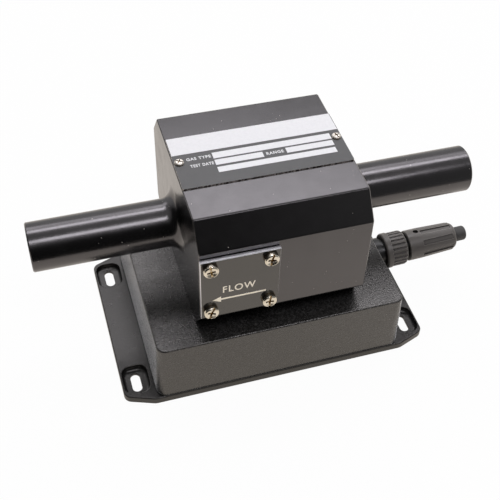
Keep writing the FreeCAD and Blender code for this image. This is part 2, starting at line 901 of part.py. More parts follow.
def cable(points, diameter, bend):
    """Round lead along straight runs joined by tangent arcs."""
    path = rounded_wire(points, [bend] * len(points), False)
    section = Part.Wire(Part.makeCircle(diameter / 2, points[0], points[1] - points[0]))
    return path.makePipeShell([section], True, False)


def transducer_lead(start_y, passage_y):
    """Lead from a transducer's back, down its passage to the board."""
    start = point(port_x, start_y, axis_z)
    turn = point(port_x, passage_y, axis_z)
    end = point(port_x, passage_y, board_top_z)
    return cable([start, turn, end], lead_d, lead_bend)


def transmit_lead():
    return transducer_lead(-stem_end_y, -front_passage_y)


def receive_lead():
    return transducer_lead(cartridge_end_y, rear_passage_y)


def output_wires():
    """One wire from each contact's tail to its way of the terminal block."""
    wires = []
    end_x = terminal_x - terminal_entry_depth / 2
    for (y, z), way in zip(sorted(contact_places()), terminal_ways_y()):
        start = ON_WALL.multVec(point(contact_back_x, y, z))
        leave = ON_WALL.multVec(point(contact_back_x - wire_straight, y, z))
        enter = point(terminal_x + wire_straight, way, terminal_entry_z)
        end = point(end_x, way, terminal_entry_z)
        wires.append(cable([start, leave, enter, end], wire_d, wire_bend))
    return group(wires)


# Panel receptacle

def receptacle_shell():
    """Threaded tail through the wall, collar outside it and threaded barrel for the coupling nut."""
    thread = receptacle_thread_d / 2
    inner = receptacle_bore / 2
    collar = thread + receptacle_step
    back = collar_x - receptacle_tail
    steps = [(back, inner), (back, thread), (collar_x, thread), (collar_x, collar), (collar_end_x, collar)]
    steps += [(collar_end_x, thread), (barrel_end_x, thread), (barrel_end_x, inner)]
    return on_wall(turned(steps, point(0, 0, plug_z), X))


def receptacle_insert():
    core = rod(receptacle_bore - 2 * insert_fit, point(insert_back_x, 0, plug_z), X, insert_length)
    starts = [point(insert_back_x, y, z) for y, z in contact_places()]
    return on_wall(core.cut([rod(contact_d + 2 * contact_fit, start, X, insert_length) for start in starts]))


def receptacle_contacts():
    length = contact_tip_x - contact_back_x
    pins = [rod(contact_d, point(contact_back_x, y, z), X, length) for y, z in contact_places()]
    return on_wall(group(pins))


def panel_seal():
    hole_d = receptacle_thread_d + 2 * panel_clearance
    outer = hole_d + 2 * panel_seal_width
    return on_wall(ring(outer, hole_d, point(wall_x, 0, plug_z), X, panel_seal_thickness))


def panel_nut():
    start = point(boss_back_x - panel_nut_thickness, 0, plug_z)
    bar = hexagon(receptacle_thread_d + 2 * panel_nut_wall, start, panel_nut_thickness, X)
    return on_wall(bar.cut(rod(receptacle_thread_d + 2 * screw_fit, start, X, panel_nut_thickness)))


# Cable plug

def plug_body():
    """Nose that enters the receptacle, shoulder that the nut pulls on, threaded tail for the back shell."""
    nose = receptacle_bore / 2 - nose_running_fit
    inner = plug_bore / 2
    shoulder = receptacle_thread_d / 2 - shoulder_clearance
    neck = neck_d / 2
    shoulder_x = shoulder_end_x - shoulder_thickness
    end = shell_x + tail_length
    steps = [(nose_x, inner), (nose_x, nose), (shoulder_x, nose), (shoulder_x, shoulder)]
    steps += [(shoulder_end_x, shoulder), (shoulder_end_x, neck), (end, neck), (end, inner)]
    return on_wall(turned(steps, point(0, 0, plug_z), X))


def plug_insert():
    length = shell_x - nose_x
    core = rod(plug_bore - 2 * insert_fit, point(nose_x, 0, plug_z), X, length)
    holes = [rod(socket_d + 2 * contact_fit, point(nose_x, y, z), X, length) for y, z in contact_places()]
    return on_wall(core.cut(holes))


def plug_sockets():
    """Hollow contacts that slide over the receptacle's pins."""
    sockets = []
    length = shell_x + contact_tail - nose_x
    for y, z in contact_places():
        start = point(nose_x, y, z)
        sleeve = rod(socket_d, start, X, length)
        sockets.append(sleeve.cut(rod(contact_d + 2 * socket_bore_fit, start, X, socket_bore_depth)))
    return on_wall(group(sockets))


def coupling_nut():
    """Captive nut: plain collar, then a ribbed grip that rounds in at its end."""
    thread = receptacle_thread_d / 2 + nut_running_fit
    lip = neck_d / 2 + nut_running_fit
    collar = receptacle_thread_d / 2 + nut_wall
    grip = collar - nut_rib_step
    collar_end = nut_x + nut_collar
    grip_end = nut_end_x - nut_end
    rim = (nut_x, collar - nut_rim)
    steps = [(nut_x, thread), rim, arc_step(rim, (nut_x + nut_rim, collar), QUARTER_RISE)]
    steps += [(collar_end, collar), (collar_end, grip), (grip_end, grip)]
    steps += [arc_step((grip_end, grip), (nut_end_x, grip - nut_end_step), nut_end_rise)]
    steps += [(nut_end_x, lip), (nut_lip_x, lip), (nut_lip_x, thread)]
    solid = turned(steps, point(0, 0, plug_z), X)
    groove_z = plug_z + grip + nut_groove_d / 2 - nut_groove_depth
    groove = rod(nut_groove_d, point(collar_end, 0, groove_z), X, nut_end_x - collar_end)
    return on_wall(solid.cut(turned_copies(groove, nut_ribs)))


def turned_copies(shape, count):
    """Copies of a shape spaced evenly about the connector's axis."""
    copies = []
    for i in range(count):
        copy = shape.copy()
        copy.rotate(point(0, 0, plug_z), X, 360 * i / count)
        copies.append(copy)
    return copies


def back_shell():
    """Smooth collar with an index notch, then a tapered grip with flutes and a smaller rounded nose."""
    radius = shell_d / 2
    grip_end = shell_end_d / 2
    nose = grip_end - shell_nose_step
    mouth = nose - shell_end_step
    tail = neck_d / 2 + stopper_fit
    cavity = shell_cavity_d / 2
    hole = stopper_d / 2 + stopper_fit
    smooth_end = shell_x + shell_smooth
    round_x = shell_end_x - shell_end_round
    tail_end = shell_x + tail_length + shell_edge
    land_end = shell_end_x - shell_nose
    end_round = arc_step((round_x, nose), (shell_end_x, mouth), shell_end_rise)
    steps = [(shell_x, tail), (shell_x, radius - shell_edge), (shell_x + shell_edge, radius)]
    steps += [(smooth_end, radius), (land_end, grip_end), (land_end, nose), (round_x, nose), end_round]
    steps += [(shell_end_x, hole), (shell_mouth_x, hole)]
    steps += [(shell_mouth_x, cavity), (tail_end, cavity), (tail_end, tail)]
    solid = turned(steps, point(0, 0, plug_z), X)
    return on_wall(solid.cut(turned_copies(flute(), flute_count) + [notch()]))


def flute():
    """Groove that follows the grip's taper and runs out at its end."""
    start = shell_x + shell_smooth
    end = shell_end_x - shell_nose
    floor = [point(start, 0, shell_d / 2 - flute_depth), point(end, 0, shell_end_d / 2 - flute_depth)]
    corners = floor + [point(end, 0, shell_d), point(start, 0, shell_d)]
    blade = Part.Face(Part.makePolygon(corners + corners[:1])).extrude(Y * flute_width)
    blade.translate(point(0, -flute_width / 2, plug_z))
    return blade


def notch():
    """Round index notch sunk into the smooth collar, near its top."""
    x = shell_x + shell_smooth - notch_d / 2 - shell_edge
    cut = rod(notch_d, point(x, 0, plug_z + shell_d / 2 - notch_depth), Z, notch_depth * 2)
    cut.rotate(point(0, 0, plug_z), X, notch_angle)
    return cut


def cable_stopper():
    """Stopper held behind the shell's mouth, its rounded end standing out."""
    radius = stopper_d / 2
    end = shell_end_x + stopper_reach
    side_end = (end - stopper_round, radius)
    steps = [(shell_mouth_x - stopper_head, 0), (shell_mouth_x - stopper_head, stopper_head_d / 2)]
    steps += [(shell_mouth_x, stopper_head_d / 2), (shell_mouth_x, radius), side_end]
    steps += [arc_step(side_end, (end, radius - stopper_round), QUARTER_RISE), (end, 0)]
    return on_wall(turned(steps, point(0, 0, plug_z), X))


NODES = (
    flow_body, vortex_strut, transmit_transducer, receive_transducer, transducer_seals, transducer_retainer,
    cover_plate, cover_gasket, cover_screws, nameplate, nameplate_screws,
    box_housing, passage_seals, body_washers, body_screws, base_lid, lid_gasket, lid_screws,
    circuit_board, board_spacers, board_screws, terminal_block, signal_chips, capacitors,
    transmit_lead, receive_lead, output_wires,
    receptacle_shell, receptacle_insert, receptacle_contacts, panel_seal, panel_nut,
    plug_body, plug_insert, plug_sockets, coupling_nut, back_shell, cable_stopper,
)

os.makedirs("parts", exist_ok=True)
for build in NODES:
    shape = build()
    shape.exportStep("parts/" + build.__name__ + ".step")
    print(build.__name__, len(shape.Solids), shape.isValid(), round(shape.Volume, 1))
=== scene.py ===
import math

import bmesh
import bpy
from mathutils import Matrix, Vector


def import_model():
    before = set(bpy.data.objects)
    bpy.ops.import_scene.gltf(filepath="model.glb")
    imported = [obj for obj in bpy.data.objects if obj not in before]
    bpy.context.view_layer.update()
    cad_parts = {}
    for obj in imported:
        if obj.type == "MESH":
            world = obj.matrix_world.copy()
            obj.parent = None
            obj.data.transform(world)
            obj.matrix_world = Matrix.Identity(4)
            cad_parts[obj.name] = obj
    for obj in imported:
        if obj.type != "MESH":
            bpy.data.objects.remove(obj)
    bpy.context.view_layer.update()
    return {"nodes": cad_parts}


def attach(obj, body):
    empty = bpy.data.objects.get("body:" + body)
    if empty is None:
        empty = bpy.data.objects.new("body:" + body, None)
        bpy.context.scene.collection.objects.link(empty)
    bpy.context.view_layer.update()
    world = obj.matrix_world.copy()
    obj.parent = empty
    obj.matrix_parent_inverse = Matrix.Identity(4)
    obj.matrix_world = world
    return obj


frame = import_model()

MM = 0.001
UP = Vector((0, 0, 1))
nodes = frame["nodes"]


# Node materials

class Graph:
    """A node tree under construction, with short names for the nodes it needs."""

    def __init__(self, tree):
        self.tree = tree

    def add(self, kind, **inputs):
        """A new node with these inputs, each a value or a link."""
        node = self.tree.nodes.new(kind)
        for socket, value in inputs.items():
            self.put(node.inputs[socket.replace("_", " ")], value)
        return node

    def put(self, socket, value):
        """Gives an input its value, or the link that it comes from."""
        if isinstance(value, bpy.types.NodeSocket):
            self.tree.links.new(value, socket)
        else:
            socket.default_value = value

    def maths(self, operation, first, second=0.0):
        """An operation on one or two numbers."""
        node = self.tree.nodes.new("ShaderNodeMath")
        node.operation = operation
        self.put(node.inputs[0], first)
        self.put(node.inputs[1], second)
        return node.outputs[0]

    def ramp(self, value, low, high, start=0.0, end=1.0):
        """Value carried from the range low to high onto start to end, and held there."""
        node = self.add("ShaderNodeMapRange", Value=value)
        for name, number in (("From Min", low), ("From Max", high), ("To Min", start), ("To Max", end)):
            node.inputs[name].default_value = number
        return node.outputs["Result"]

    def dot(self, first, second):
        """How far one direction goes along another."""
        node = self.tree.nodes.new("ShaderNodeVectorMath")
        node.operation = "DOT_PRODUCT"
        self.put(node.inputs[0], first)
        self.put(node.inputs[1], second)
        return node.outputs["Value"]

    def mix(self, share, first, second):
        """The first colour, with this share of the second."""
        node = self.tree.nodes.new("ShaderNodeMix")
        node.data_type = "RGBA"
        self.put(node.inputs["Factor"], share)
        self.put(node.inputs["A"], first)
        self.put(node.inputs["B"], second)
        return node.outputs["Result"]


class Paint(Graph):
    """A material under construction, with the patterns that the finishes share."""

    def __init__(self, name, **sockets):
        self.material = bpy.data.materials.new(name)
        self.material.use_nodes = True
        super().__init__(self.material.node_tree)
        self.bsdf = self.tree.nodes["Principled BSDF"]
        self.place = self.add("ShaderNodeTexCoord").outputs["Object"]
        for socket, value in sockets.items():
            self.set(socket, value)

    def set(self, socket, value):
        """Gives one of the surface's inputs its value or link."""
        self.put(self.bsdf.inputs[socket.replace("_", " ")], value)

    def noise(self, size, detail=2.0, stretch=(1, 1, 1)):
        """Cloudy noise with features of about this size."""
        place = self.place
        if stretch != (1, 1, 1):
            mapping = self.add("ShaderNodeMapping", Vector=place)
            mapping.inputs["Scale"].default_value = stretch
            place = mapping.outputs["Vector"]
        node = self.add("ShaderNodeTexNoise", Vector=place, Scale=1 / size, Detail=detail)
        return node.outputs["Fac"]

    def specks(self, spacing, radius, share):
        """Mask of small round specks: one in a share of the cells of this spacing."""
        node = self.add("ShaderNodeTexVoronoi", Vector=self.place, Scale=1 / spacing)
        chance = self.add("ShaderNodeSeparateColor", Color=node.outputs["Color"])
        chosen = self.maths("LESS_THAN", chance.outputs["Red"], share)
        size = self.ramp(chance.outputs["Green"], 0.0, 1.0, 0.35, 1.0)
        edge = self.maths("MULTIPLY", size, radius / spacing)
        near = self.maths("LESS_THAN", node.outputs["Distance"], edge)
        return self.maths("MULTIPLY", chosen, near)

    def cells(self, size):
        """A number from 0 to 1 for each grain of this size."""
        node = self.add("ShaderNodeTexVoronoi", Vector=self.place, Scale=1 / size)
        return self.add("ShaderNodeSeparateColor", Color=node.outputs["Color"]).outputs["Red"]

    def rounded(self, radius):
        """Normal that rounds sharp edges off by this radius."""
        bevel = self.add("ShaderNodeBevel", Radius=radius)
        bevel.samples = 8
        return bevel.outputs["Normal"]

    def edges(self, radius):
        """Mask that is 1 along sharp edges."""
        normal = self.add("ShaderNodeNewGeometry").outputs["Normal"]
        return self.ramp(self.dot(self.rounded(radius), normal), 0.995, 0.9)

    def recess_shade(self, reach):
        """Mask of painted shade: 1 in corners and recesses narrower than this reach."""
        node = self.add("ShaderNodeAmbientOcclusion", Distance=reach)
        return self.ramp(node.outputs["AO"], 0.95, 0.45)

    def bump(self, height, distance, strength=1.0, edge=0.0):
        """Surface relief of this depth, over edges rounded off by edge."""
        node = self.add("ShaderNodeBump", Height=height, Distance=distance, Strength=strength)
        if edge:
            self.put(node.inputs["Normal"], self.rounded(edge))
        self.set("Normal", node.outputs["Normal"])


def grey(value, warm=0.0):
    """A grey with a little more red and less blue for a warm one."""
    return (value * (1 + warm), value, value * (1 - warm), 1.0)


def anodised():
    """Black anodised aluminium with a violet cast: satin, dusty, with lighter edges, partly wear and partly
    a painted highlight.
    """
    p = Paint("anodised_black", IOR=1.9, Specular_Tint=(1.0, 0.96, 0.99, 1.0))
    # Lighter edges, partly wear and partly a painted highlight.
    wear_and_highlight = p.maths("MULTIPLY", p.edges(0.3 * MM), p.ramp(p.noise(6 * MM), 0.4, 0.65, 0.1, 0.8))
    # Pale dust specks.
    speck_mask = p.specks(3.0 * MM, 0.22 * MM, 0.45)
    colour = p.mix(p.noise(30 * MM, 3.0), grey(0.002), grey(0.004, 0.02))
    colour = p.mix(wear_and_highlight, colour, grey(0.12, 0.02))
    p.set("Base_Color", p.mix(speck_mask, colour, grey(0.5, 0.1)))
    rough = p.ramp(p.noise(8 * MM, 4.0), 0.3, 0.7, 0.2, 0.25)
    p.set("Roughness", p.maths("ADD", rough, p.maths("MULTIPLY", speck_mask, 0.5)))
    grain = p.noise(0.22 * MM, 3.0, (0.3, 1.0, 1.0))
    p.bump(p.maths("ADD", grain, speck_mask), 0.005 * MM, 0.4, 0.35 * MM)
    return p.material


def cast(name, level, relief, grain, sheen):
    """Black powder coat on a casting: peel of this depth, grains that differ in gloss and tone, a sheen."""
    p = Paint(name, Specular_IOR_Level=level, Specular_Tint=(1.0, 0.97, 0.94, 1.0))
    p.set("Sheen_Weight", sheen)
    p.set("Sheen_Roughness", 0.25)
    grains = p.cells(0.6 * MM)
    # Lighter edges, partly wear and partly a painted highlight.
    wear_and_highlight = p.maths("MULTIPLY", p.edges(0.5 * MM), p.ramp(p.noise(1.4 * MM), 0.45, 0.7, 0.0, 1.0))
    # Pale specks, partly dust and partly painted glints.
    speck_mask = p.specks(3.0 * MM, 0.2 * MM, 0.35)
    colour = p.mix(p.noise(20 * MM, 3.0), grey(0.01), grey(0.015, 0.02))
    colour = p.mix(p.ramp(grains, 0.5, 1.0, 0.0, grain), colour, grey(0.1, 0.02))
    colour = p.mix(wear_and_highlight, colour, grey(0.2, 0.04))
    p.set("Base_Color", p.mix(speck_mask, colour, grey(0.4, 0.06)))
    gloss = p.ramp(p.noise(5 * MM, 4.0), 0.3, 0.7, 0.27, 0.33)
    p.set("Roughness", p.maths("ADD", gloss, p.ramp(grains, 0.0, 1.0, -0.1 * grain, 0.1 * grain)))
    p.bump(p.noise(0.6 * MM, 1.0), relief, 1.0, 0.6 * MM)
    return p.material


def cover():
    """Glossy dark face with bare bright edges, fine brushing along the flow."""
    p = Paint("cover_dark_anodised", IOR=1.85, Specular_Tint=(1.0, 0.98, 0.95, 1.0))
    normal = p.add("ShaderNodeTexCoord").outputs["Normal"]
    side = p.maths("LESS_THAN", p.maths("ABSOLUTE", p.dot(normal, (0, 1, 0))), 0.9)
    brush = p.noise(0.3 * MM, 4.0, (0.02, 1.0, 1.0))
    face = p.mix(p.noise(10 * MM, 3.0), grey(0.02, 0.06), grey(0.028, 0.08))
    face = p.mix(p.specks(4.0 * MM, 0.2 * MM, 0.2), face, grey(0.4, 0.08))
    p.set("Base_Color", p.mix(side, face, (0.9, 0.9, 0.93, 1.0)))
    p.set("Metallic", side)
    p.set("Roughness", p.maths("ADD", p.ramp(brush, 0.3, 0.7, 0.03, 0.06), p.maths("MULTIPLY", side, 0.25)))
    p.bump(brush, 0.001 * MM, 0.2)
    return p.material


def plate():
    """Dark grey printed aluminium, satin, with bare edges painted in dark patches and bright glints."""
    p = Paint("nameplate_grey", Specular_IOR_Level=0.5)
    normal = p.add("ShaderNodeTexCoord").outputs["Normal"]
    side = p.maths("LESS_THAN", p.dot(normal, (0, 0, 1)), 0.9)
    field = p.mix(p.noise(6 * MM, 4.0), grey(0.075, -0.01), grey(0.09, 0.01))
    # Painted dark patches and bright glints on the bare edges.
    edge_glints = p.mix(p.ramp(p.noise(0.8 * MM), 0.45, 0.6), grey(0.08, 0.15), grey(0.9, 0.08))
    p.set("Base_Color", p.mix(side, field, edge_glints))
    p.set("Metallic", side)
    p.set("Roughness", p.ramp(p.noise(2 * MM, 3.0), 0.3, 0.7, 0.32, 0.44))
    p.bump(p.noise(0.5 * MM), 0.004 * MM, 0.5)
    return p.material


def ink(name, colour, shade):
    """Printed or filled ink: almost even, with a little mottling and a soft sheen."""
    p = Paint(name, Specular_IOR_Level=0.5)
    p.set("Base_Color", p.mix(p.ramp(p.noise(1.2 * MM, 3.0), 0.35, 0.75), colour, shade))
    p.set("Roughness", p.ramp(p.noise(0.8 * MM), 0.3, 0.7, 0.36, 0.5))
    p.bump(p.noise(0.4 * MM), 0.004 * MM, 0.5)
    return p.material


def metal(name, colour, shade, rough, brushed=(1, 1, 1)):
    """Bare metal: slight tarnish, fine scratches, brighter edges, painted brown shade in its recesses."""
    p = Paint(name, Metallic=1.0)
    tarnish = p.ramp(p.noise(2.5 * MM, 4.0), 0.35, 0.75)
    tone = p.mix(tarnish, colour, shade)
    bright = tuple(min(1.0, c * 1.2) for c in colour[:3]) + (1.0,)
    tone = p.mix(p.edges(0.12 * MM), tone, bright)
    # Painted shade: recesses darkened to brown.
    p.set("Base_Color", p.mix(p.recess_shade(2.0 * MM), tone, (0.3, 0.2, 0.07, 1.0)))
    scratch = p.noise(0.2 * MM, 4.0, brushed)
    p.set("Roughness", p.ramp(scratch, 0.25, 0.75, rough * 0.75, rough * 1.3))
    p.bump(scratch, 0.003 * MM, 0.4, 0.15 * MM)
    return p.material


def plastic(name, colour, shade, rough):
    """Moulded plastic or rubber: fine erosion texture, a faint bloom, a painted highlight on its edges and
    painted shade in its recesses.
    """
    p = Paint(name, Specular_IOR_Level=0.5)
    bloom = p.noise(4 * MM, 4.0)
    # Painted highlight on edges and rib crests.
    pale = tuple(c * 2.6 for c in shade[:3]) + (1.0,)
    # Painted shade for recesses.
    dark = tuple(c * 0.1 for c in colour[:3]) + (1.0,)
    tone = p.mix(p.edges(0.3 * MM), p.mix(bloom, colour, shade), pale)
    p.set("Base_Color", p.mix(p.recess_shade(2.5 * MM), tone, dark))
    p.set("Roughness", p.ramp(bloom, 0.3, 0.7, rough - 0.06, rough + 0.06))
    p.bump(p.noise(0.3 * MM, 3.0), 0.012 * MM, 0.6, 0.15 * MM)
    return p.material


def board():
    """Green solder mask with tracks, copper showing at random pads."""
    p = Paint("solder_mask_green", Specular_IOR_Level=0.5)
    tracks = p.add("ShaderNodeTexBrick", Vector=p.place, Scale=160.0)
    tracks.inputs["Mortar Size"].default_value = 0.06
    pads = p.specks(3.0 * MM, 0.5 * MM, 0.4)
    mask = p.mix(tracks.outputs["Fac"], (0.012, 0.11, 0.04, 1), (0.02, 0.2, 0.07, 1))
    p.set("Base_Color", p.mix(pads, mask, (0.75, 0.6, 0.3, 1)))
    p.set("Metallic", pads)
    p.set("Roughness", p.ramp(p.noise(2 * MM), 0.3, 0.7, 0.25, 0.4))
    p.bump(tracks.outputs["Fac"], 0.02 * MM, 0.5)
    return p.material


steel = metal("stainless_steel", (0.84, 0.79, 0.69, 1), (0.72, 0.66, 0.54, 1), 0.22)
satin = metal("satin_steel", (0.84, 0.8, 0.74, 1), (0.74, 0.69, 0.62, 1), 0.45)
brass = metal("plated_brass", (0.8, 0.65, 0.36, 1), (0.62, 0.47, 0.22, 1), 0.26)
case = metal("machined_case", (0.6, 0.6, 0.62, 1), (0.5, 0.5, 0.51, 1), 0.35, (0.05, 1, 1))
can = metal("capacitor_can", (0.72, 0.72, 0.74, 1), (0.62, 0.62, 0.64, 1), 0.3, (1, 1, 0.05))
moulding = plastic("moulding_black", grey(0.115, 0.08), grey(0.14, 0.09), 0.4)
connector = plastic("socket_black", grey(0.01), grey(0.018, 0.02), 0.34)
gasket = plastic("gasket_grey", grey(0.2), grey(0.27), 0.6)
chip = plastic("chip_black", grey(0.02), grey(0.03), 0.5)
rubber = plastic("seal_rubber", grey(0.012), grey(0.02), 0.7)
stopper = plastic("stopper_rubber", grey(0.06, 0.03), grey(0.075, 0.04), 0.6)
sleeve = plastic("wire_sleeve", (0.25, 0.03, 0.03, 1), (0.33, 0.05, 0.04, 1), 0.45)
white = ink("print_white", (0.92, 0.92, 0.93, 1), (0.87, 0.87, 0.88, 1))
engraved = metal("engraved_bare", (0.93, 0.9, 0.82, 1), (0.86, 0.82, 0.73, 1), 0.35)

FINISHES = (
    (anodised(), ["flow_body"]),
    (cast("powder_coat_box", 1.0, 0.17 * MM, 0.46, 1.0), ["box_housing"]),
    (cast("powder_coat_lid", 0.6, 0.04 * MM, 0.08, 0.0), ["base_lid"]),
    (cover(), ["cover_plate"]),
    (plate(), ["nameplate"]),
    (steel, ["vortex_strut", "cover_screws", "body_washers", "body_screws", "lid_screws", "board_screws"]),
    (satin, ["nameplate_screws"]),
    (rubber, ["transducer_seals", "passage_seals", "lid_gasket", "panel_seal"]),
    (gasket, ["cover_gasket"]),
    (stopper, ["cable_stopper"]),
    (brass, ["transducer_retainer", "board_spacers", "receptacle_contacts", "plug_sockets"]),
    (board(), ["circuit_board"]),
    (chip, ["terminal_block", "signal_chips"]),
    (can, ["capacitors"]),
    (case, ["transmit_transducer", "receive_transducer"]),
    (connector, ["receptacle_shell", "receptacle_insert", "panel_nut"]),
    (moulding, ["plug_body", "plug_insert", "coupling_nut", "back_shell"]),
    (sleeve, ["transmit_lead", "receive_lead", "output_wires"]),
)
for material, names in FINISHES:
    for name in names:
        nodes[name].data.materials.clear()
        nodes[name].data.materials.append(material)


# Mesh pieces, in millimetres

WELD = 0.002


def low(name):
    """Lowest corner of a node's box, in millimetres."""
    return Vector(min(corner[i] for corner in nodes[name].bound_box) for i in range(3)) / MM


def high(name):
    """Highest corner of a node's box, in millimetres."""
    return Vector(max(corner[i] for corner in nodes[name].bound_box) for i in range(3)) / MM


def weld(mesh):
    """Joins points that lie together and turns all faces outwards."""
    work = bmesh.new()
    work.from_mesh(mesh)
    bmesh.ops.remove_doubles(work, verts=work.verts, dist=WELD * MM)
    bmesh.ops.recalc_face_normals(work, faces=work.faces)
    work.to_mesh(mesh)
    work.free()


def piece(name, points, faces, material, slot):
    """A mesh piece of the meter, in millimetres of the part's frame."""
    mesh = bpy.data.meshes.new(name)
    mesh.from_pydata([Vector(p) * MM for p in points], [], faces)
    mesh.materials.append(material)
    weld(mesh)
    made = bpy.data.objects.new(name, mesh)
    bpy.context.collection.objects.link(made)
    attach(made, "meter")


def prisms(outlines, height, place):
    """Flat outlines raised by height, as points and faces of one mesh, carried to their place."""
    points = []
    faces = []
    for outline in outlines:
        first = len(points)
        count = len(outline)
        points += [place @ Vector((x, y, 0)) for x, y in outline]
        points += [place @ Vector((x, y, height)) for x, y in outline]
        faces.append(tuple(range(first + count, first + 2 * count)))
        faces.append(tuple(reversed(range(first, first + count))))
        for i in range(count):
            j = (i + 1) % count
            faces.append((first + i, first + j, first + count + j, first + count + i))
    return points, faces


def rectangle(x0, x1, y0, y1):
    """Corners of an upright rectangle, anticlockwise."""
    return [(x0, y0), (x1, y0), (x1, y1), (x0, y1)]


def words(text, weight, height, width, x, y):
    """Points and faces of lettering, scaled to this height and width, from its lower left corner."""
    curve = bpy.data.curves.new("words", "FONT")
    curve.body = text
    curve.offset = weight
    curve.space_character = LETTER_SPACE
    curve.extrude = LETTER_DEPTH
    holder = bpy.data.objects.new("words", curve)
    bpy.context.collection.objects.link(holder)
    bpy.context.view_layer.update()
    mesh = bpy.data.meshes.new_from_object(holder.evaluated_get(bpy.context.evaluated_depsgraph_get()))
    least = Vector(min(v.co[i] for v in mesh.vertices) for i in range(3))
    most = Vector(max(v.co[i] for v in mesh.vertices) for i in range(3))
    size = (width, height, PRINT)
    scale = Vector(size[i] / (most[i] - least[i]) for i in range(3))
    points = [(v.co - least) * scale + Vector((x, y, 0)) for v in mesh.vertices]
    faces = [tuple(f.vertices) for f in mesh.polygons]
    bpy.data.objects.remove(holder)
    bpy.data.curves.remove(curve)
    bpy.data.meshes.remove(mesh)
    return points, faces


def carried(shape, place):
    """Points and faces of a shape, moved to its place."""
    points, faces = shape
    return [place @ p for p in points], faces


def together(shapes):
    """Points and faces of several shapes as one mesh."""
    points = []
    faces = []
    for more, sides in shapes:
        first = len(points)
        points += more
        faces += [tuple(first + i for i in side) for side in sides]
    return points, faces


# Lettering, in the font's own units
LETTER_SPACE = 1.15
LETTER_DEPTH = 0.01
CAPTION_WEIGHT = 0.027
FLOW_WEIGHT = 0.014

# Print, in millimetres: on the nameplate x along the flow and y to the rear, on the cover plate x and height
PRINT = 0.04
PLATE_TOP = Matrix.Translation((0, 0, high("nameplate").z))
COVER_MIDDLE = (low("cover_plate") + high("cover_plate")) / 2
COVER_FACE = Matrix.Translation((0, low("cover_plate").y, COVER_MIDDLE.z))
COVER_FACE = COVER_FACE @ Matrix.Rotation(math.pi / 2, 4, "X")
BAND = (-43.5, 43.5, 6.9, 20.1)
FIELDS = (
    (-23.8, 38.2, 0.3, 4.7),
    (-23.8, 0.9, -4.7, -0.8),
    (12.9, 38.0, -4.7, -0.8),
    (-23.8, 37.7, -10.2, -6.3),
)
CAPTION_HEIGHT = 2.1
CAPTIONS = (
    ("GAS TYPE", 12.4, -37.1, 1.5),
    ("TEST DATE", 11.8, -36.3, -3.8),
    ("RANGE", 9.0, 2.5, -3.8),
)
FLOW_SIZE = (16.6, 4.6)
FLOW_CORNER = (-33.0, -3.6)
ARROW_Y = -7.9
ARROW_TAIL = -10.9
ARROW_NECK = -33.9
ARROW_TIP = -38.4
ARROW_LINE = 1.1
ARROW_HEAD = 4.0


def nameplate_print():
    """White band and blank data fields, with their captions."""
    fields = [rectangle(*place) for place in (BAND,) + FIELDS]
    piece("nameplate_fields", *prisms(fields, PRINT, PLATE_TOP), white, "plate")
    lines = [words(text, CAPTION_WEIGHT, CAPTION_HEIGHT, width, x, y) for text, width, x, y in CAPTIONS]
    piece("nameplate_captions", *carried(together(lines), PLATE_TOP), white, "plate")


def flow_marking():
    """The word FLOW over an arrow that points to the outlet."""
    width, height = FLOW_SIZE
    word = words("FLOW", FLOW_WEIGHT, height, width, *FLOW_CORNER)
    piece("flow_word", *carried(word, COVER_FACE), engraved, "cover")
    lower = [(ARROW_NECK, -ARROW_HEAD / 2), (ARROW_NECK, -ARROW_LINE / 2), (ARROW_TAIL, -ARROW_LINE / 2)]
    upper = [(x, -y) for x, y in reversed(lower)]
    arrow = [(x, ARROW_Y + y) for x, y in [(ARROW_TIP, 0)] + lower + upper]
    piece("flow_arrow", *prisms([arrow], PRINT, COVER_FACE), engraved, "cover")


# Black strip in the rebate round the box's foot, a painted shadow of the joint, in millimetres
FOOT_CORNER = 6.0
STRIP_INSIDE = 0.6
STRIP_OUTSIDE = 0.25
STRIP_HEIGHT = 0.9
ARC_STEPS = 8


def foot_outline(offset):
    """Outline of the box's foot, drawn out by offset, anticlockwise from above."""
    radius = FOOT_CORNER + offset
    half_x, half_y, _ = high("box_housing") + Vector((offset, offset, 0))
    middles = ((half_x - radius, half_y - radius), (radius - half_x, half_y - radius))
    middles += tuple((-x, -y) for x, y in middles)
    outline = []
    for quarter, (x, y) in enumerate(middles):
        for step in range(ARC_STEPS + 1):
            angle = math.pi / 2 * (quarter + step / ARC_STEPS)
            outline.append((x + radius * math.cos(angle), y + radius * math.sin(angle)))
    return outline


def foot_shadow_strip():
    """Black strip between box and lid, a little proud of the wall: a painted shadow in the joint."""
    foot = low("box_housing").z
    top = foot + STRIP_HEIGHT
    rings = ((-STRIP_INSIDE, foot), (STRIP_OUTSIDE, foot), (STRIP_OUTSIDE, top), (-STRIP_INSIDE, top))
    points = []
    faces = []
    for offset, z in rings:
        points += [(x, y, z) for x, y in foot_outline(offset)]
    count = len(points) // len(rings)
    for k in range(len(rings)):
        here, there = k * count, (k + 1) % len(rings) * count
        for i in range(count):
            j = (i + 1) % count
            faces.append((here + i, here + j, there + j, there + i))
    # Painted shadow: a black strip in the joint.
    piece("foot_shadow_strip", points, faces, rubber, "rubber")


nameplate_print()
flow_marking()
foot_shadow_strip()


# Floor, light and camera, in metres

WHITE = (1.0, 1.0, 1.0, 1.0)
WARM = (1.0, 0.91, 0.8, 1.0)
FLOOR_SINK = 0.2 * MM
FLOOR_SEEN = 0.97
FLOOR_MIRRORED = 0.7
AIM_HEIGHT = 0.07
CAMERA_PLACE = (-0.11104, -0.33547, 0.41302)
VIEW_TURN = math.radians(-19.96)
VIEW_TILT = math.radians(46.81)
VIEW_ROLL = math.radians(3.55)
RIGHT = Vector((math.cos(VIEW_TURN), math.sin(VIEW_TURN), 0))
AHEAD = Vector((-math.sin(VIEW_TURN), math.cos(VIEW_TURN), 0))


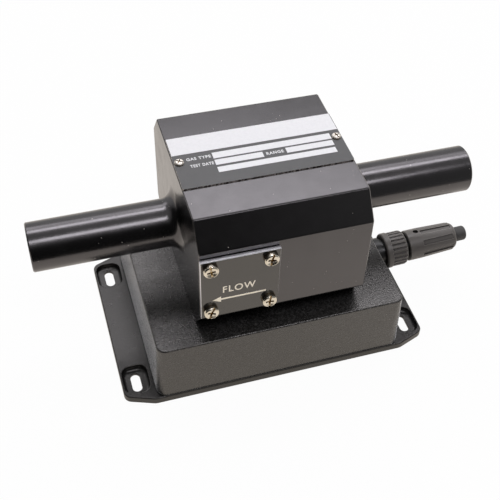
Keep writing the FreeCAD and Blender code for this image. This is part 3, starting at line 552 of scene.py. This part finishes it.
def floor():
    """White sheet that the object stands on: it shows white and keeps a soft shadow."""
    left, right, front, back = -0.9, 0.9, -0.175, 1.0
    mesh = bpy.data.meshes.new("floor")
    corners = [(left, front, 0), (right, front, 0), (right, back, 0), (left, back, 0)]
    mesh.from_pydata(corners, [], [(0, 1, 2, 3)])
    made = bpy.data.objects.new("floor", mesh)
    bpy.context.collection.objects.link(made)
    made.location.z = -FLOOR_SINK
    p = Paint("floor_white")
    p.tree.nodes.remove(p.bsdf)
    path = p.add("ShaderNodeLightPath")
    seen = p.maths("MULTIPLY", path.outputs["Is Camera Ray"], FLOOR_SEEN)
    mirrored = p.maths("MULTIPLY", path.outputs["Is Glossy Ray"], FLOOR_MIRRORED)
    glow = p.add("ShaderNodeEmission", Color=p.mix(path.outputs["Is Camera Ray"], WARM, WHITE))
    matt = p.add("ShaderNodeBsdfDiffuse", Color=(0.92, 0.91, 0.9, 1.0))
    blend = p.add("ShaderNodeMixShader", Fac=p.maths("ADD", seen, mirrored))
    p.put(blend.inputs[1], matt.outputs[0])
    p.put(blend.inputs[2], glow.outputs[0])
    p.put(p.tree.nodes["Material Output"].inputs["Surface"], blend.outputs[0])
    mesh.materials.append(p.material)


def world():
    """White where the camera looks past the sheet; pale wall behind, pale ceiling, dim room in front."""
    made = bpy.data.worlds.new("studio")
    bpy.context.scene.world = made
    made.use_nodes = True
    p = Graph(made.node_tree)
    way = p.add("ShaderNodeTexCoord").outputs["Generated"]
    wall = p.ramp(p.dot(way, AHEAD), 0.0, 0.35, 0.0, 0.6)
    ceiling = p.ramp(p.dot(way, UP), 0.6, 0.85, 0.0, 0.38)
    side = p.ramp(p.dot(way, (1, 0, 0)), 0.18, 0.42, 0.02, 0.2)
    room = p.maths("MAXIMUM", p.maths("MAXIMUM", wall, ceiling), side)
    path = p.add("ShaderNodeLightPath")
    seen = p.maths("MAXIMUM", path.outputs["Is Camera Ray"], path.outputs["Is Transmission Ray"])
    back = made.node_tree.nodes["Background"]
    p.put(back.inputs["Color"], WHITE)
    p.put(back.inputs["Strength"], p.maths("MAXIMUM", seen, room))


def lamp(name, across, ahead, height, size, radiance, colour):
    """Rectangular soft light of a set brightness across the view, aimed at the object's middle."""
    light = bpy.data.lights.new(name, "AREA")
    light.shape = "RECTANGLE"
    light.size, light.size_y = size
    light.energy = radiance * math.pi * size[0] * size[1]
    light.color = colour
    made = bpy.data.objects.new(name, light)
    bpy.context.collection.objects.link(made)
    made.location = across * RIGHT + ahead * AHEAD + height * UP
    aim = across * RIGHT + AIM_HEIGHT * UP - made.location
    made.rotation_euler = aim.to_track_quat("-Z", "Y").to_euler()


def lights():
    """Strips overhead in front and behind; lower behind, a wide glow and two brighter boxes."""
    cool = (0.97, 0.95, 1.0)
    lamp("back_strip", 0.12, 0.565, 1.38, (1.15, 0.26), 6.2, cool)
    lamp("front_strip", 0.45, -0.565, 1.38, (0.95, 0.27), 6.6, cool)
    lamp("back_glow", 0.2, 0.95, 1.15, (1.6, 0.4), 1.3, cool)
    lamp("back_box", 0.0, 0.95, 1.11, (0.46, 0.26), 1.6, cool)
    lamp("left_box", -0.75, 0.95, 1.1, (0.5, 0.4), 1.8, cool)


def camera():
    """Camera fitted to the photograph."""
    back = math.sin(VIEW_TILT) * UP - math.cos(VIEW_TILT) * AHEAD
    up = back.cross(RIGHT)
    side = math.cos(VIEW_ROLL) * RIGHT + math.sin(VIEW_ROLL) * up
    above = math.cos(VIEW_ROLL) * up - math.sin(VIEW_ROLL) * RIGHT
    aim = Matrix((side, above, back)).transposed().to_4x4()
    data = bpy.data.cameras.new("camera")
    data.sensor_width = 36.0
    data.lens = 66.12
    data.shift_x = -0.0471
    data.shift_y = 0.0216
    made = bpy.data.objects.new("camera", data)
    bpy.context.collection.objects.link(made)
    made.matrix_world = Matrix.Translation(CAMERA_PLACE) @ aim
    bpy.context.scene.camera = made


floor()
world()
lights()
camera()
bpy.context.scene.view_settings.view_transform = "Standard"
